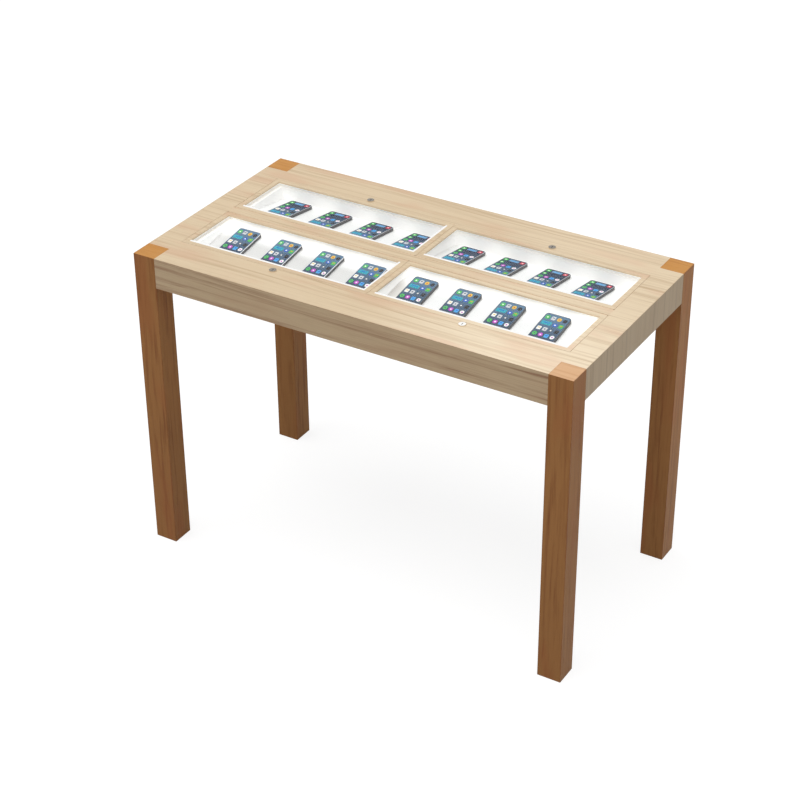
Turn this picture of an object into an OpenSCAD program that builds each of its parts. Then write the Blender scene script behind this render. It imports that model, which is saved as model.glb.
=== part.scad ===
// Display table: four square legs, a mitred top, and four hinged glass lids over
// sloping wells that hold dummy handsets. Millimetres, +Z up, the front at -Y.
// Depths below the top surface are written as positive sizes.

/* [Table] */
// Length of the top, along X
table_length = 1200; // [1080:5:1320]
// Width of the top, along Y
table_width = 640; // [600:5:710]
// Height of the top surface above the floor
table_height = 840; // [700:10:960]
// Side of each square leg
leg_side = 62; // [54:1:72]

/* [Boards of the top and sides] */
// Thickness of the boards of the top
board_thick = 22; // [21:0.5:26]
// Height of the side faces, from the top surface down
side_height = 81; // [78:1:100]
// Thickness of the side boards, which meet the top boards at a mitre
apron_thick = 20; // [16:1:21]
// Width of the front and back boards of the top
rail_width = 109; // [100:1:116]
// Width of the end boards of the top
end_width = 65; // [56:1:72]
// Width of the board between the two rows of lids
centre_width = 27.4; // [24:0.2:34]
// Reach of the tongue that carries a lid's outer end
end_tongue = 18; // [12:1:24]
// Reach of the tongue that carries a lid's hinge side
centre_tongue = 5.3; // [4:0.1:7]

/* [Joinery] */
// Thickness of the side boards' tenons
tenon_thick = 10; // [8:0.5:11]
// Length of the side boards' tenons
tenon_length = 25; // [18:1:30]
// Distance of a tenon from the outer face
tenon_inset = 5; // [4:0.5:6]
// Shoulder above and below each tenon
tenon_shoulder = 9; // [6:1:12]
// Play of a tenon in its mortise
mortise_gap = 0.15; // [0.05:0.05:0.3]
// Glue line between the members of a lid, of a well and of its trim
glue_gap = 0.1; // [0.05:0.05:0.2]
// Thickness of the long beam under the centre board
beam_thick = 20; // [18:1:26]
// Height of the long beam
beam_height = 54; // [46:1:55]
// Length of the beam's stub tenons
beam_stub = 12; // [8:1:13]
// Thickness of the two cross bearers
bearer_thick = 10; // [9:0.5:14]
// Height of the cross bearers
bearer_height = 48; // [40:1:54]
// Length of the bearers' stub tenons
bearer_stub = 6; // [4:0.5:7]
// Diameter of the dowels that join the boards of the top
dowel_diameter = 8; // [6:1:8]
// Length of the dowels
dowel_length = 40; // [30:2:44]
// Play round a dowel
dowel_fit = 0.05; // [0.02:0.01:0.1]
// First corner dowel, from the end of the table
dowel_first = 32; // [28:1:34]
// Spacing of two corner dowels
dowel_spacing = 20; // [14:1:20]
// Distance of the centre board's two dowels from its middle
dowel_offset = 6; // [5:0.5:7]

/* [Lids] */
// Thickness of the lids
lid_thick = 13; // [12:0.5:15]
// Width of the members of a lid's frame
lid_member = 13; // [11:0.5:16]
// Depth of the glass below the top surface, which is the height of the lip it is glued under
glass_drop = 4.5; // [3.5:0.5:6]
// Thickness of the glass
glass_thick = 5; // [4:0.5:6]
// Width of the rebate that the glass lies in
glass_rebate = 5; // [4:0.5:6]
// Play round the glass
glass_gap = 0.5; // [0.2:0.1:1]
// Seam between a lid and the boards round it
edge_seam = 1; // [0.8:0.1:2.5]
// Seam between two neighbouring lids
middle_seam = 1.2; // [1:0.1:3]
// Gap between a closed lid and its tongues
rest_gap = 0.3; // [0.2:0.1:0.5]
// Width of the white glazing strip on a window's front side
trim_front = 7; // [4:0.5:10]
// Width of the white glazing strip on the right side of a left window
trim_side = 5; // [3:0.5:8]
// How far the strips stay below the top surface
trim_drop = 0.3; // [0.1:0.1:1]

/* [Hinges] */
// Seam that holds the hinge, between a lid and the centre board
hinge_seam = 3.4; // [3.2:0.1:4]
// Clearance of the knuckles in the seam, on each side
knuckle_gap = 0.2; // [0.15:0.05:0.3]
// Depth of the knuckles below the top surface
knuckle_sink = 0.1; // [0.05:0.05:0.15]
// Number of knuckles of one hinge
knuckle_count = 13; // [9:2:17]
// Gap between two knuckles
knuckle_split = 0.3; // [0.2:0.1:0.6]
// Thickness of the hinge leaves
leaf_thick = 0.8; // [0.6:0.1:0.9]
// Height of the leaves below the knuckles
leaf_height = 8.2; // [7:0.2:8.6]
// Diameter of the hinge pins
pin_diameter = 1.6; // [1.2:0.1:1.8]
// Play round a hinge pin
pin_fit = 0.05; // [0.02:0.01:0.1]
// Distance from the end of a lid to the end of its hinge
hinge_inset = 2; // [1:1:14]
// Screws in each leaf
leaf_screws = 5; // [3:1:7]
// Diameter of the leaf screws
screw_diameter = 2.6; // [2:0.1:2.8]
// Diameter of the screws' countersunk heads
screw_head = 4.2; // [3.6:0.1:4.6]
// Play round the leaf screws
screw_fit = 0.05; // [0.03:0.01:0.1]
// Length of the leaf screws
screw_length = 6.5; // [5:0.5:7]
// Distance of the first screw from the end of the leaf
screw_inset = 22; // [20:1:30]

/* [Locks] */
// Distance of the locks from the middle of the table, along X
lock_from_centre = 261; // [200:1:330]
// How far all four locks lie to the right of that
lock_shift = 5; // [0:1:10]
// Distance of a lock's axis from the opening for the lids
lock_setback = 11.5; // [11:0.5:14]
// Diameter of the lock's flange
flange_diameter = 20; // [18:0.5:21]
// Height of the flange above the top surface
flange_height = 1.5; // [1.2:0.1:2]
// Diameter of the lock's barrel
barrel_diameter = 16; // [15.5:0.1:16.5]
// Length of barrel past the nut
barrel_tail = 1; // [0.5:0.5:3]
// Diameter of the turning plug
plug_diameter = 12; // [11:0.1:13]
// Diameter of the plug's head
plug_head = 14; // [13.6:0.1:14.6]
// Thickness of the plug's head
plug_head_thick = 0.9; // [0.6:0.1:1]
// Play round the plug
plug_fit = 0.05; // [0.03:0.01:0.1]
// Play between the barrel, its nut and its hole
barrel_fit = 0.1; // [0.05:0.05:0.3]
// Length of the keyway in the plug's face
keyway_length = 8; // [6:0.5:9]
// Width of the keyway
keyway_width = 1.8; // [1.2:0.1:2.4]
// Depth of the keyway
keyway_depth = 16; // [8:1:20]
// Size of the lock's nut across its flats
nut_across = 22; // [20:0.5:23]
// Thickness of the nut
nut_thick = 5; // [4:0.5:6]
// Thickness of the cam
cam_thick = 2; // [1.5:0.5:3]
// Width of the cam
cam_width = 10; // [9.5:0.5:12]
// How far the cam's tip passes the keeper
cam_past = 1; // [0.5:0.5:2]
// Gap between the cam and the barrel above it
cam_gap = 0.5; // [0.3:0.1:1]
// Side of the plug's square tail, which turns the cam
tail_side = 6; // [5:0.5:6.5]
// Diameter of the screw head that holds the cam
cam_screw_head = 10; // [9.5:0.5:11]
// Thickness of that screw head
cam_screw_thick = 2; // [1.5:0.5:3]
// Thickness of the keeper plate
keeper_thick = 2; // [1.5:0.5:2.5]
// Distance of the keeper from the lid's edge
keeper_inset = 2.5; // [2:0.5:3]
// Wood left above the keeper's kerf in the lid
keeper_cover = 4; // [3:0.5:5]
// Metal round the slot of the keeper
keeper_margin = 4; // [3:0.5:6]
// Clearance above and below the cam in the keeper's slot
slot_gap = 1.5; // [1:0.5:2.5]
// Clearance beside the cam in the keeper's slot
slot_side = 2.8; // [1:0.2:4]
// Clearance of the keeper's notch in the tongue, on each side
notch_gap = 4; // [2:0.5:6]
// Clearance between the cam's tip and the well
cam_to_well = 1.5; // [1.2:0.1:3]

/* [Wells] */
// Thickness of the walls of a well
wall_thick = 3; // [2:0.5:5]
// Depth of the walls' lower edge below the top surface
wall_depth = 60; // [58:1:66]
// How far the walls stay below the tongues' upper faces
wall_drop = 0.5; // [0.2:0.1:1]
// Thickness of the bent deck
deck_thick = 4; // [3:0.5:6]
// Depth of the deck's flat part below the top surface
deck_level = 29; // [27:0.5:34]
// Further drop of the deck down to its outer edge
deck_drop = 19.5; // [14:0.5:20]
// Width of the deck's flat part
deck_flat = 48; // [36:1:60]

/* [Handsets] */
// Width of a handset
handset_width = 66; // [58:0.5:72]
// Length of a handset
handset_length = 142; // [122:1:148]
// Thickness of a handset
handset_thick = 8.6; // [6:0.2:9]
// Radius of a handset's corners
handset_corner = 8; // [4:0.5:11]
// Width of the rim round a handset's face
face_border = 1.2; // [0.8:0.1:3]
// Thickness of a handset's face
face_thick = 0.6; // [0.4:0.1:1]
// Play round a handset's face
face_gap = 0.1; // [0.05:0.05:0.2]
// How far the handsets lie outwards of the middle of their well
handset_offset = 3.5; // [0:0.1:8]
// Left well: distance from its left wall to the first handset
left_start = 39; // [10:0.5:60]
// Left well: distance from the last handset to its right wall
left_end = 31.1; // [10:0.1:60]
// Right well: distance from its left wall to the first handset
right_start = 30.5; // [10:0.1:60]
// Right well: distance from the last handset to its right wall
right_end = 55.5; // [10:0.1:70]
// Handsets in each well
handset_count = 4; // [2:1:4]

/* [Hidden] */
$fn = 64;
cut = 1;
left = -1;
right = 1;
front = -1;
back = 1;

half_length = table_length / 2;
half_width = table_width / 2;
opening_half_length = half_length - end_width;
opening_half_width = half_width - rail_width;
tongue_depth = lid_thick + rest_gap;

// A lid's own frame has its left, outer, upper corner at the origin
lid_length = opening_half_length - edge_seam - middle_seam / 2;
lid_width = opening_half_width - edge_seam - hinge_seam - centre_width / 2;
rebated_member = lid_member - glass_rebate;

// Hinge, in the same frame
knuckle_diameter = hinge_seam - 2 * knuckle_gap;
axis_y = lid_width + hinge_seam / 2;
axis_depth = knuckle_diameter / 2 + knuckle_sink;
leaf_top = axis_depth + knuckle_diameter / 2 + knuckle_gap;
hinge_length = lid_length - 2 * hinge_inset;
knuckle_pitch = hinge_length / knuckle_count;
screw_depth = leaf_top + leaf_height / 3;
screw_pitch = (hinge_length - 2 * screw_inset) / (leaf_screws - 1);

// Lock, with its axis at the origin of its frame
barrel_length = board_thick + nut_thick + barrel_tail;
cam_depth = barrel_length + cam_gap;
keeper_near = lock_setback + edge_seam + keeper_inset;
cam_tip = keeper_near + keeper_thick + cam_past;
cam_corner = norm([cam_tip, cam_width / 2]);
slot_left = cam_width / 2 + slot_side;
slot_right = sqrt(cam_corner * cam_corner - keeper_near * keeper_near) + slot_side;
keeper_left = slot_left + keeper_margin;
keeper_right = slot_right + keeper_margin;
slot_top = cam_depth - slot_gap;
slot_bottom = cam_depth + cam_thick + slot_gap;
keeper_bottom = slot_bottom + keeper_margin;
outer_tongue = cam_tip - lock_setback + cam_to_well;
lock_y = opening_half_width + lock_setback;

// A well's own frame has its left, outer corner at the origin, at the top surface
well_edge = opening_half_width - outer_tongue;
well_length = opening_half_length - end_tongue - bearer_thick / 2;
well_width = well_edge - centre_width / 2 - centre_tongue;
wall_top = tongue_depth + wall_drop;
inner_length = well_length - 2 * wall_thick;
fold_y = well_width - wall_thick - deck_flat;
slope_run = fold_y - wall_thick;
slope = atan(deck_drop / slope_run);
deck_low = deck_level + deck_drop;
handset_lower_end = (well_width / 2 - wall_thick - handset_offset) / cos(slope) - handset_length / 2;

pine = [0.87, 0.79, 0.64];
pine_side = [0.80, 0.72, 0.58];
teak = [0.64, 0.41, 0.22];
inner_wood = [0.78, 0.68, 0.52];
white = [0.95, 0.95, 0.95];
clear = [0.85, 0.92, 0.93, 0.35];
steel = [0.62, 0.63, 0.65];
dark = [0.13, 0.14, 0.16];
screen = [0.20, 0.30, 0.42];

// Which part to draw: all, or one name of the list above

// Placing

module if_back(row) {
    if (row == back) mirror([0, 1, 0]) children();
    else children();
}

module at_corner(end, row) {
    if_back(row)
        if (end == right) mirror([1, 0, 0]) translate([-half_length, -half_width, 0]) children();
        else translate([-half_length, -half_width, 0]) children();
}

module at_side(turn, half) {
    rotate([0, 0, turn]) translate([0, -half, table_height]) children();
}

function lid_start(end) = end == left ? -middle_seam / 2 - lid_length : middle_seam / 2;

function well_start(end) = end == left ? -bearer_thick / 2 - well_length : bearer_thick / 2;

function lock_x(end) = end * lock_from_centre + lock_shift;

function lock_in_lid(end) = lock_x(end) - lid_start(end);

module at_lid(end, row) {
    if_back(row)
        translate([lid_start(end), -opening_half_width + edge_seam, table_height]) children();
}

module at_well(end, row) {
    if_back(row) translate([well_start(end), -well_edge, table_height]) children();
}

module at_lock(end, row) {
    if_back(row) translate([lock_x(end), -lock_y, table_height]) children();
}

module all_quarters() {
    for ($end = [left, right], $row = [front, back]) children();
}

module along_x(length) {
    rotate([90, 0, 90]) linear_extrude(length) children();
}

module along_y(length) {
    translate([0, length, 0]) rotate([90, 0, 0]) linear_extrude(length) children();
}

// A box from its lower to its upper corner
module box(low, high) {
    translate(low) cube(high - low);
}

module rounded_plate(width, length, radius, thick) {
    linear_extrude(thick) union() {
        translate([radius, 0]) square([width - 2 * radius, length]);
        translate([0, radius]) square([width, length - 2 * radius]);
        for (x = [radius, width - radius], y = [radius, length - radius])
            translate([x, y]) circle(radius);
    }
}

// Legs

// The mortise of one tenon, cut from the face that lies along X
module leg_mortise() {
    box([leg_side - tenon_length - mortise_gap, tenon_inset - mortise_gap,
            table_height - side_height + tenon_shoulder - mortise_gap],
        [leg_side + cut, tenon_inset + tenon_thick + mortise_gap,
            table_height - board_thick - tenon_shoulder + mortise_gap]);
}

module leg(end, row) {
    color(teak) at_corner(end, row) difference() {
        cube([leg_side, leg_side, table_height]);
        leg_mortise();
        mirror([1, -1, 0]) leg_mortise();
    }
}

// Side boards

// The hole for a stub tenon in the inner face of a side board
module stub_mortise(thick, height, length, shoulder) {
    box([-thick / 2 - mortise_gap, apron_thick - length - mortise_gap,
            -board_thick - height + shoulder - mortise_gap],
        [thick / 2 + mortise_gap, apron_thick + cut,
            -board_thick - shoulder + mortise_gap]);
}

module side_board(half_span) {
    tenon_end = half_span + tenon_length;
    translate([-half_span, 0, 0]) along_x(2 * half_span)
        polygon([[0, 0], [apron_thick, -apron_thick], [apron_thick, -side_height], [0, -side_height]]);
    box([-tenon_end, tenon_inset, -side_height + tenon_shoulder],
        [tenon_end, tenon_inset + tenon_thick, -board_thick - tenon_shoulder]);
}

module long_apron(turn) {
    color(pine_side) at_side(turn, half_width) difference() {
        side_board(half_length - leg_side);
        stub_mortise(bearer_thick / 2, bearer_height, bearer_stub, tenon_shoulder);
    }
}

module short_apron(turn) {
    color(pine_side) at_side(turn, half_length) difference() {
        side_board(half_width - leg_side);
        stub_mortise(beam_thick / 2, beam_height, beam_stub, tenon_shoulder);
    }
}

// Beam and bearers

module centre_beam() {
    beam_end = half_length - apron_thick;
    color(inner_wood) translate([0, 0, table_height - board_thick]) difference() {
        union() {
            box([-beam_end, -beam_thick / 2, -beam_height], [beam_end, beam_thick / 2, 0]);
            box([-beam_end - beam_stub, -beam_thick / 4, -beam_height + tenon_shoulder],
                [beam_end + beam_stub, beam_thick / 4, -tenon_shoulder]);
        }
        for (side = [0, 180]) rotate([0, 0, side])
            box([-bearer_thick / 4 - mortise_gap, beam_thick / 2 - bearer_stub - mortise_gap,
                    -bearer_height + tenon_shoulder - mortise_gap],
                [bearer_thick / 4 + mortise_gap, beam_thick / 2 + cut,
                    -tenon_shoulder + mortise_gap]);
    }
}

module cross_bearer(row) {
    outer = half_width - apron_thick;
    inner = beam_thick / 2;
    color(inner_wood) if_back(row) translate([0, 0, table_height]) {
        box([-bearer_thick / 2, -outer, -board_thick - bearer_height],
            [bearer_thick / 2, -inner, -board_thick]);
        box([-bearer_thick / 2, -well_edge, -board_thick],
            [bearer_thick / 2, -centre_width / 2 - centre_tongue, -tongue_depth]);
        box([-bearer_thick / 4, -outer - bearer_stub,
                -board_thick - bearer_height + tenon_shoulder],
            [bearer_thick / 4, -inner + bearer_stub, -board_thick - tenon_shoulder]);
    }
}

// Boards of the top

function mitre_profile(half) = [
    [-half, 0], [half, 0],
    [half - apron_thick, -apron_thick], [half - apron_thick, -board_thick],
    [apron_thick - half, -board_thick], [apron_thick - half, -apron_thick]
];

// The whole top as one slab whose edges are cut for the mitre
module mitred_slab() {
    intersection() {
        translate([-half_length, 0, 0]) along_x(table_length) polygon(mitre_profile(half_width));
        translate([0, -half_width, 0]) along_y(table_width) polygon(mitre_profile(half_length));
    }
}

module corner_dowels(play) {
    for (end = [left, right], step = [0, 1])
        translate([end * (half_length - dowel_first - step * dowel_spacing),
                -opening_half_width, -board_thick / 2])
            rotate([90, 0, 0])
                cylinder(h = dowel_length + 2 * play, d = dowel_diameter + 2 * play, center = true);
}

module centre_dowels(end, play) {
    for (side = [front, back])
        translate([end * opening_half_length, side * dowel_offset, -board_thick / 2])
            rotate([0, 90, 0])
                cylinder(h = dowel_length + 2 * play, d = dowel_diameter + 2 * play, center = true);
}

module keeper_notch(end) {
    box([lock_x(end) - keeper_left - notch_gap, -opening_half_width, -board_thick - cut],
        [lock_x(end) + keeper_right + notch_gap, -well_edge + cut, 0]);
}

module long_board(row) {
    color(pine) if_back(row) translate([0, 0, table_height]) difference() {
        union() {
            intersection() {
                mitred_slab();
                box([-table_length, -half_width, -board_thick],
                    [table_length, -opening_half_width, 0]);
            }
            box([-opening_half_length, -opening_half_width, -board_thick],
                [opening_half_length, -well_edge, -tongue_depth]);
        }
        for (end = [left, right]) {
            box([end == left ? -half_length - cut : half_length - leg_side, -half_width - cut,
                    -board_thick - cut],
                [end == left ? leg_side - half_length : half_length + cut, -half_width + leg_side, cut]);
            translate([lock_x(end), -lock_y, -board_thick - cut])
                cylinder(h = board_thick + 2 * cut, d = barrel_diameter + 2 * barrel_fit);
            keeper_notch(end);
        }
        corner_dowels(dowel_fit);
    }
}

module end_board(end) {
    color(pine) translate([0, 0, table_height]) mirror([end == right ? 1 : 0, 0, 0]) difference() {
        union() {
            intersection() {
                mitred_slab();
                box([-half_length, -opening_half_width, -board_thick],
                    [-opening_half_length, opening_half_width, 0]);
            }
            for (row = [front, back]) if_back(row)
                box([-opening_half_length, -well_edge, -board_thick],
                    [-opening_half_length + end_tongue, -centre_width / 2 - centre_tongue, -tongue_depth]);
        }
        for (row = [front, back]) if_back(row) corner_dowels(dowel_fit);
        centre_dowels(left, dowel_fit);
    }
}

module centre_board() {
    color(pine) translate([0, 0, table_height]) difference() {
        union() {
            box([-opening_half_length, -centre_width / 2, -board_thick],
                [opening_half_length, centre_width / 2, 0]);
            box([-opening_half_length, -centre_width / 2 - centre_tongue, -board_thick],
                [opening_half_length, centre_width / 2 + centre_tongue, -tongue_depth]);
        }
        for (end = [left, right]) centre_dowels(end, dowel_fit);
        all_quarters() translate([0, 0, -table_height])
            at_lid($end, $row) board_screws(screw_fit);
    }
}

module top_dowels() {
    color(inner_wood) translate([0, 0, table_height]) {
        for (row = [front, back]) if_back(row) corner_dowels(0);
        for (end = [left, right]) centre_dowels(end, 0);
    }
}

// Lids

module lid_profile() {
    polygon([[0, 0], [lid_member, 0], [lid_member, -glass_drop],
        [rebated_member, -glass_drop], [rebated_member, -lid_thick], [0, -lid_thick]]);
}

// A side member stands between the long ones, with a tongue under each one's lip
module lid_side_member() {
    shoulder = lid_member + glue_gap;
    tongue = rebated_member + glue_gap;
    translate([0, shoulder, 0]) along_y(lid_width - 2 * shoulder) lid_profile();
    box([0, tongue, -lid_thick], [rebated_member, lid_width - tongue, -glass_drop - glue_gap]);
}

module lid_frame(end, row) {
    color(pine) at_lid(end, row) {
        difference() {
            along_x(lid_length) lid_profile();
            translate([lock_in_lid(end), 0, 0]) keeper_kerf();
        }
        difference() {
            translate([0, lid_width, 0]) mirror([0, 1, 0]) along_x(lid_length) lid_profile();
            lid_screws(screw_fit);
        }
        lid_side_member();
        translate([lid_length, 0, 0]) mirror([1, 0, 0]) lid_side_member();
    }
}

module lid_glass(end, row) {
    edge = rebated_member + glass_gap;
    color(clear) at_lid(end, row)
        box([edge, edge, -glass_drop - glass_thick], [lid_length - edge, lid_width - edge, -glass_drop]);
}

// The strips lie on the glass, at a window's front side and in the left lids at its right side too
module lid_trim(end, row) {
    window = [lid_length - 2 * lid_member, lid_width - 2 * lid_member];
    front_strip = row == front ? 0 : window[1] - trim_front;
    side_start = row == front ? trim_front + glue_gap : 0;
    color(white) at_lid(end, row) translate([lid_member, lid_member, -glass_drop]) {
        translate([0, front_strip, 0]) cube([window[0], trim_front, glass_drop - trim_drop]);
        if (end == left) translate([window[0] - trim_side, side_start, 0])
            cube([trim_side, window[1] - trim_front - glue_gap, glass_drop - trim_drop]);
    }
}

// Hinges, in a lid's frame: even knuckles belong to the board, odd ones to the lid

module leaf_screw(play) {
    translate([0, leaf_thick, 0]) rotate([90, 0, 0]) rotate_extrude() polygon([
        [0, -play], [screw_head / 2 + play, -play], [screw_head / 2 + play, 0],
        [screw_diameter / 2 + play, leaf_thick],
        [screw_diameter / 2 + play, screw_length + play], [0, screw_length + play]
    ]);
}

module screw_row(play) {
    for (i = [0 : leaf_screws - 1])
        translate([hinge_inset + screw_inset + i * screw_pitch, 0, -screw_depth]) leaf_screw(play);
}

module lid_screws(play) {
    translate([0, lid_width, 0]) screw_row(play);
}

module board_screws(play) {
    translate([0, lid_width + hinge_seam, 0]) mirror([0, 1, 0]) screw_row(play);
}

// One leaf on the plane y = 0, with the hinge's axis half a seam away from it
module hinge_leaf(first) {
    difference() {
        union() {
            box([hinge_inset, 0, -leaf_top - leaf_height], [hinge_inset + hinge_length, leaf_thick, -leaf_top]);
            for (i = [first : 2 : knuckle_count - 1])
                translate([hinge_inset + i * knuckle_pitch + knuckle_split / 2, 0, 0]) {
                    box([0, 0, -leaf_top], [knuckle_pitch - knuckle_split, leaf_thick, -axis_depth]);
                    translate([0, hinge_seam / 2, -axis_depth]) rotate([0, 90, 0])
                        cylinder(h = knuckle_pitch - knuckle_split, d = knuckle_diameter);
                }
        }
        translate([0, hinge_seam / 2, -axis_depth]) rotate([0, 90, 0])
            cylinder(h = lid_length, d = pin_diameter + 2 * pin_fit);
        screw_row(screw_fit);
    }
}

module lid_hinge(end, row) {
    color(steel) at_lid(end, row) translate([0, lid_width, 0]) {
        hinge_leaf(1);
        screw_row(0);
    }
}

module board_hinges() {
    color(steel) all_quarters() at_lid($end, $row)
        translate([0, lid_width + hinge_seam, 0]) mirror([0, 1, 0]) {
            hinge_leaf(0);
            screw_row(0);
        }
}

module hinge_pins() {
    color(steel) all_quarters() at_lid($end, $row)
        translate([hinge_inset, axis_y, -axis_depth]) rotate([0, 90, 0])
            cylinder(h = hinge_length, d = pin_diameter);
}

// Keepers, in a lid's frame, with the lock's axis at x = 0

module keeper_kerf() {
    box([-keeper_left - plug_fit, keeper_inset - plug_fit, -lid_thick - cut],
        [keeper_right + plug_fit, keeper_inset + keeper_thick + plug_fit, -keeper_cover]);
}

module keeper(end, row) {
    color(steel) at_lid(end, row) translate([lock_in_lid(end), keeper_inset, 0]) difference() {
        box([-keeper_left, 0, -keeper_bottom], [keeper_right, keeper_thick, -keeper_cover]);
        box([-slot_left, -cut, -slot_bottom], [slot_right, keeper_thick + cut, -slot_top]);
    }
}

// Locks

module lock_housing() {
    difference() {
        union() {
            cylinder(h = flange_height, d = flange_diameter);
            translate([0, 0, -barrel_length]) cylinder(h = barrel_length, d = barrel_diameter);
        }
        translate([0, 0, -barrel_length - cut])
            cylinder(h = barrel_length + flange_height + 2 * cut, d = plug_diameter + 2 * plug_fit);
        translate([0, 0, flange_height - plug_head_thick - plug_fit])
            cylinder(h = plug_head_thick + plug_fit + cut, d = plug_head + 2 * plug_fit);
    }
}

module lock_housings() {
    color(steel) all_quarters() at_lock($end, $row) lock_housing();
}

module lock_nuts() {
    color(steel) all_quarters() at_lock($end, $row)
        translate([0, 0, -board_thick - nut_thick]) difference() {
            rotate([0, 0, 30]) cylinder(h = nut_thick, d = nut_across / cos(30), $fn = 6);
            translate([0, 0, -cut]) cylinder(h = nut_thick + 2 * cut, d = barrel_diameter + 2 * barrel_fit);
        }
}

module lock_plug(end, row) {
    color(steel) at_lock(end, row) difference() {
        union() {
            translate([0, 0, flange_height - plug_head_thick])
                cylinder(h = plug_head_thick, d = plug_head);
            translate([0, 0, -cam_depth])
                cylinder(h = cam_depth + flange_height - plug_head_thick, d = plug_diameter);
            box([-tail_side / 2, -tail_side / 2, -cam_depth - cam_thick],
                [tail_side / 2, tail_side / 2, -cam_depth]);
        }
        box([-keyway_width / 2, -keyway_length / 2, flange_height - keyway_depth],
            [keyway_width / 2, keyway_length / 2, flange_height + cut]);
    }
}

// The cam, at rest along X, with the screw head that holds it
module lock_cam(end, row) {
    hole = tail_side / 2 + plug_fit;
    color(steel) at_lock(end, row) translate([0, 0, -cam_depth - cam_thick]) {
        difference() {
            union() {
                cylinder(h = cam_thick, d = plug_diameter);
                box([0, -cam_width / 2, 0], [cam_tip, cam_width / 2, cam_thick]);
            }
            box([-hole, -hole, -cut], [hole, hole, cam_thick + cut]);
        }
        translate([0, 0, -cam_screw_thick - plug_fit]) cylinder(h = cam_screw_thick, d = cam_screw_head);
    }
}

// Wells

module well_walls(end, row) {
    end_wall = wall_thick + glue_gap;
    color(white) at_well(end, row) translate([0, 0, -wall_depth]) {
        for (y = [0, well_width - wall_thick])
            translate([0, y, 0]) cube([well_length, wall_thick, wall_depth - wall_top]);
        for (x = [0, well_length - wall_thick])
            translate([x, end_wall, 0])
                cube([wall_thick, well_width - 2 * end_wall, wall_depth - wall_top]);
    }
}

module well_deck(end, row) {
    inner_y = well_width - wall_thick;
    color(white) at_well(end, row) translate([wall_thick, 0, 0]) along_x(inner_length)
        polygon([
            [wall_thick, -deck_low], [fold_y, -deck_level], [inner_y, -deck_level],
            [inner_y, -deck_level - deck_thick],
            [fold_y + deck_thick * tan(slope / 2), -deck_level - deck_thick],
            [wall_thick, -deck_low - deck_thick / cos(slope)]
        ]);
}

// Handsets

// Puts a part where each handset of a well lies on the slope of the deck
module on_deck(end, row) {
    start = end == left ? left_start : right_start;
    rest = end == left ? left_end : right_end;
    pitch = (inner_length - start - rest - handset_width) / (handset_count - 1);
    at_well(end, row) for (i = [0 : handset_count - 1])
        translate([wall_thick + start + i * pitch, wall_thick, -deck_low])
            rotate([slope, 0, 0]) translate([0, handset_lower_end, 0]) children();
}

module handset_face() {
    inset = face_border + face_gap;
    translate([inset, inset, handset_thick - face_thick])
        rounded_plate(handset_width - 2 * inset, handset_length - 2 * inset,
            handset_corner - inset, face_thick);
}

module handset_shell() {
    difference() {
        rounded_plate(handset_width, handset_length, handset_corner, handset_thick);
        translate([face_border, face_border, handset_thick - face_thick])
            rounded_plate(handset_width - 2 * face_border, handset_length - 2 * face_border,
                handset_corner - face_border, face_thick + cut);
    }
}

module handset_shells() {
    color(dark) all_quarters() on_deck($end, $row) handset_shell();
}

module handset_faces() {
    color(screen) all_quarters() on_deck($end, $row) handset_face();
}

leg(left, front);  // leg_front_left
leg(right, front);  // leg_front_right
leg(left, back);  // leg_back_left
leg(right, back);  // leg_back_right
long_apron(0);  // apron_front
long_apron(180);  // apron_back
short_apron(-90);  // apron_left
short_apron(90);  // apron_right
long_board(front);  // top_board_front
long_board(back);  // top_board_back
end_board(left);  // top_board_left
end_board(right);  // top_board_right
centre_board();  // top_board_centre
centre_beam();
cross_bearer(front);  // cross_bearer_front
cross_bearer(back);  // cross_bearer_back
top_dowels();
lid_frame(left, front);  // lid_frame_front_left
lid_frame(right, front);  // lid_frame_front_right
lid_frame(left, back);  // lid_frame_back_left
lid_frame(right, back);  // lid_frame_back_right
lid_glass(left, front);  // lid_glass_front_left
lid_glass(right, front);  // lid_glass_front_right
lid_glass(left, back);  // lid_glass_back_left
lid_glass(right, back);  // lid_glass_back_right
lid_trim(left, front);  // lid_trim_front_left
lid_trim(right, front);  // lid_trim_front_right
lid_trim(left, back);  // lid_trim_back_left
lid_trim(right, back);  // lid_trim_back_right
lid_hinge(left, front);  // lid_hinge_front_left
lid_hinge(right, front);  // lid_hinge_front_right
lid_hinge(left, back);  // lid_hinge_back_left
lid_hinge(right, back);  // lid_hinge_back_right
keeper(left, front);  // keeper_front_left
keeper(right, front);  // keeper_front_right
keeper(left, back);  // keeper_back_left
keeper(right, back);  // keeper_back_right
board_hinges();
hinge_pins();
lock_housings();
lock_nuts();
lock_plug(left, front);  // lock_plug_front_left
lock_plug(right, front);  // lock_plug_front_right
lock_plug(left, back);  // lock_plug_back_left
lock_plug(right, back);  // lock_plug_back_right
lock_cam(left, front);  // lock_cam_front_left
lock_cam(right, front);  // lock_cam_front_right
lock_cam(left, back);  // lock_cam_back_left
lock_cam(right, back);  // lock_cam_back_right
well_walls(left, front);  // well_walls_front_left
well_walls(right, front);  // well_walls_front_right
well_walls(left, back);  // well_walls_back_left
well_walls(right, back);  // well_walls_back_right
well_deck(left, front);  // well_deck_front_left
well_deck(right, front);  // well_deck_front_right
well_deck(left, back);  // well_deck_back_left
well_deck(right, back);  // well_deck_back_right
handset_shells();
handset_faces();
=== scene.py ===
"""Shop display table with glass lids over sample handsets: its looks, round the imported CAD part.

Metres, the table's middle at x 0 and y 0, the floor at z 0, the front at -y.
"""

import math

import bpy
import numpy as np
from mathutils import Matrix, Vector


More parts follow.
